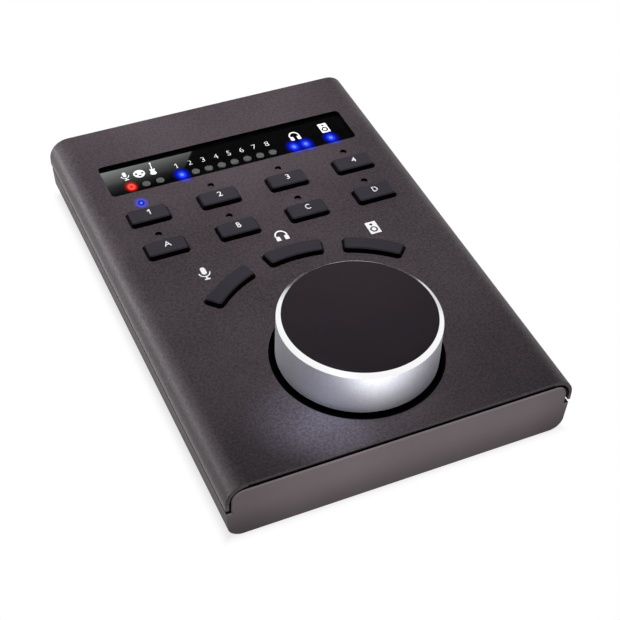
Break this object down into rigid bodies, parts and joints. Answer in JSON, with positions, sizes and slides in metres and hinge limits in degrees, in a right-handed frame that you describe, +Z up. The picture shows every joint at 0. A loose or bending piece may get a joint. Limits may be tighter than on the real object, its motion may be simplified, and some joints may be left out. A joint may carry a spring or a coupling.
{
  "type": "studio monitor controller",
  "caption": "Flat desktop remote for choosing and setting studio inputs and outputs: large push-and-turn knob, sprung keys and a lit display strip in a two-part metal case.",
  "frame": {"origin": "middle of the footprint on the plane that the rubber feet stand on", "axes": "+X to the user's right, +Y away from the user towards the socket, +Z up"},
  "size_m": [0.1, 0.1476, 0.0352],
  "materials": {
    "cover_metal": "fine textured dark warm grey coating",
    "housing_metal": "satin dark warm grey",
    "lens_glass": "gloss smoked window",
    "black_plastic": "matt black",
    "key_plastic": "satin black",
    "dot_red": "lit red diffuser",
    "dot_blue": "lit blue diffuser",
    "dot_dark": "unlit milky diffuser",
    "led_body": "moulded LED",
    "board_laminate": "solder mask",
    "chip_plastic": "moulded",
    "plated_metal": "plated",
    "capacitor_metal": "bare can",
    "encoder_metal": "nickel plated",
    "switch_plastic": "moulded",
    "knob_metal": "satin anodised, polished bevel",
    "disc_plastic": "dark satin disc",
    "hub_plastic": "moulded black",
    "screw_steel": "black zinc",
    "post_metal": "turned",
    "foot_rubber": "matt",
    "tape": "black adhesive tape"
  },
  "bodies": {
    "case": {"lower_housing": "housing_metal", "top_cover": "cover_metal", "display_lens": "lens_glass", "lens_tape": "tape", "display_baffle": "black_plastic", "dot_diffuser_red": "dot_red", "dot_diffusers_blue": "dot_blue", "dot_diffusers_dark": "dot_dark", "display_leds": "led_body", "lamp_pipe_lit": "dot_blue", "lamp_pipes_dark": "dot_dark", "lamp_leds": "led_body", "switch_bodies": "switch_plastic", "main_board": "board_laminate", "controller_chip": "chip_plastic", "memory_chip": "chip_plastic", "voltage_regulator": "chip_plastic", "clock_crystal": "plated_metal", "supply_capacitors": "capacitor_metal", "encoder_case": "encoder_metal", "encoder_bushing": "encoder_metal", "encoder_washer": "encoder_metal", "encoder_nut": "encoder_metal", "knob_well": "black_plastic", "usb_shell": "plated_metal", "usb_tongue": "black_plastic", "cover_posts": "post_metal", "case_screws": "screw_steel", "board_standoffs": "post_metal", "board_screws": "screw_steel", "feet": "foot_rubber"},
    "push_slider": {"encoder_slider": "switch_plastic"},
    "knob": {"encoder_shaft": "encoder_metal", "encoder_rotor": "switch_plastic", "knob_hub": "hub_plastic", "knob_shell": "knob_metal", "knob_disc": "disc_plastic"},
    "button_1": {"key_1": "key_plastic", "plunger_1": "switch_plastic"},
    "button_2": {"key_2": "key_plastic", "plunger_2": "switch_plastic"},
    "button_3": {"key_3": "key_plastic", "plunger_3": "switch_plastic"},
    "button_4": {"key_4": "key_plastic", "plunger_4": "switch_plastic"},
    "button_a": {"key_a": "key_plastic", "plunger_a": "switch_plastic"},
    "button_b": {"key_b": "key_plastic", "plunger_b": "switch_plastic"},
    "button_c": {"key_c": "key_plastic", "plunger_c": "switch_plastic"},
    "button_d": {"key_d": "key_plastic", "plunger_d": "switch_plastic"},
    "button_microphone": {"key_microphone": "key_plastic", "plunger_microphone": "switch_plastic"},
    "button_headphones": {"key_headphones": "key_plastic", "plunger_headphones": "switch_plastic"},
    "button_speaker": {"key_speaker": "key_plastic", "plunger_speaker": "switch_plastic"}
  },
  "joints": [
    {"name": "knob_press", "type": "slide", "parent": "case", "child": "push_slider", "axis": [0, 0, -1], "range_m": [0, 0.0005], "stiffness_N_per_m": 3000, "springref_m": -0.0005},
    {"name": "knob_turn", "type": "hinge", "parent": "push_slider", "child": "knob", "pos_m": [0, -0.0436, 0.03], "axis": [0, 0, 1], "continuous": true},
    {"name": "press_1", "type": "slide", "parent": "case", "child": "button_1", "axis": [0, 0, -1], "range_m": [0, 0.0003], "stiffness_N_per_m": 2000, "springref_m": -0.0003},
    {"name": "press_2", "type": "slide", "parent": "case", "child": "button_2", "axis": [0, 0, -1], "range_m": [0, 0.0003], "stiffness_N_per_m": 2000, "springref_m": -0.0003},
    {"name": "press_3", "type": "slide", "parent": "case", "child": "button_3", "axis": [0, 0, -1], "range_m": [0, 0.0003], "stiffness_N_per_m": 2000, "springref_m": -0.0003},
    {"name": "press_4", "type": "slide", "parent": "case", "child": "button_4", "axis": [0, 0, -1], "range_m": [0, 0.0003], "stiffness_N_per_m": 2000, "springref_m": -0.0003},
    {"name": "press_a", "type": "slide", "parent": "case", "child": "button_a", "axis": [0, 0, -1], "range_m": [0, 0.0003], "stiffness_N_per_m": 2000, "springref_m": -0.0003},
    {"name": "press_b", "type": "slide", "parent": "case", "child": "button_b", "axis": [0, 0, -1], "range_m": [0, 0.0003], "stiffness_N_per_m": 2000, "springref_m": -0.0003},
    {"name": "press_c", "type": "slide", "parent": "case", "child": "button_c", "axis": [0, 0, -1], "range_m": [0, 0.0003], "stiffness_N_per_m": 2000, "springref_m": -0.0003},
    {"name": "press_d", "type": "slide", "parent": "case", "child": "button_d", "axis": [0, 0, -1], "range_m": [0, 0.0003], "stiffness_N_per_m": 2000, "springref_m": -0.0003},
    {"name": "press_microphone", "type": "slide", "parent": "case", "child": "button_microphone", "axis": [0, 0, -1], "range_m": [0, 0.0003], "stiffness_N_per_m": 2000, "springref_m": -0.0003},
    {"name": "press_headphones", "type": "slide", "parent": "case", "child": "button_headphones", "axis": [0, 0, -1], "range_m": [0, 0.0003], "stiffness_N_per_m": 2000, "springref_m": -0.0003},
    {"name": "press_speaker", "type": "slide", "parent": "case", "child": "button_speaker", "axis": [0, 0, -1], "range_m": [0, 0.0003], "stiffness_N_per_m": 2000, "springref_m": -0.0003}
  ]
}
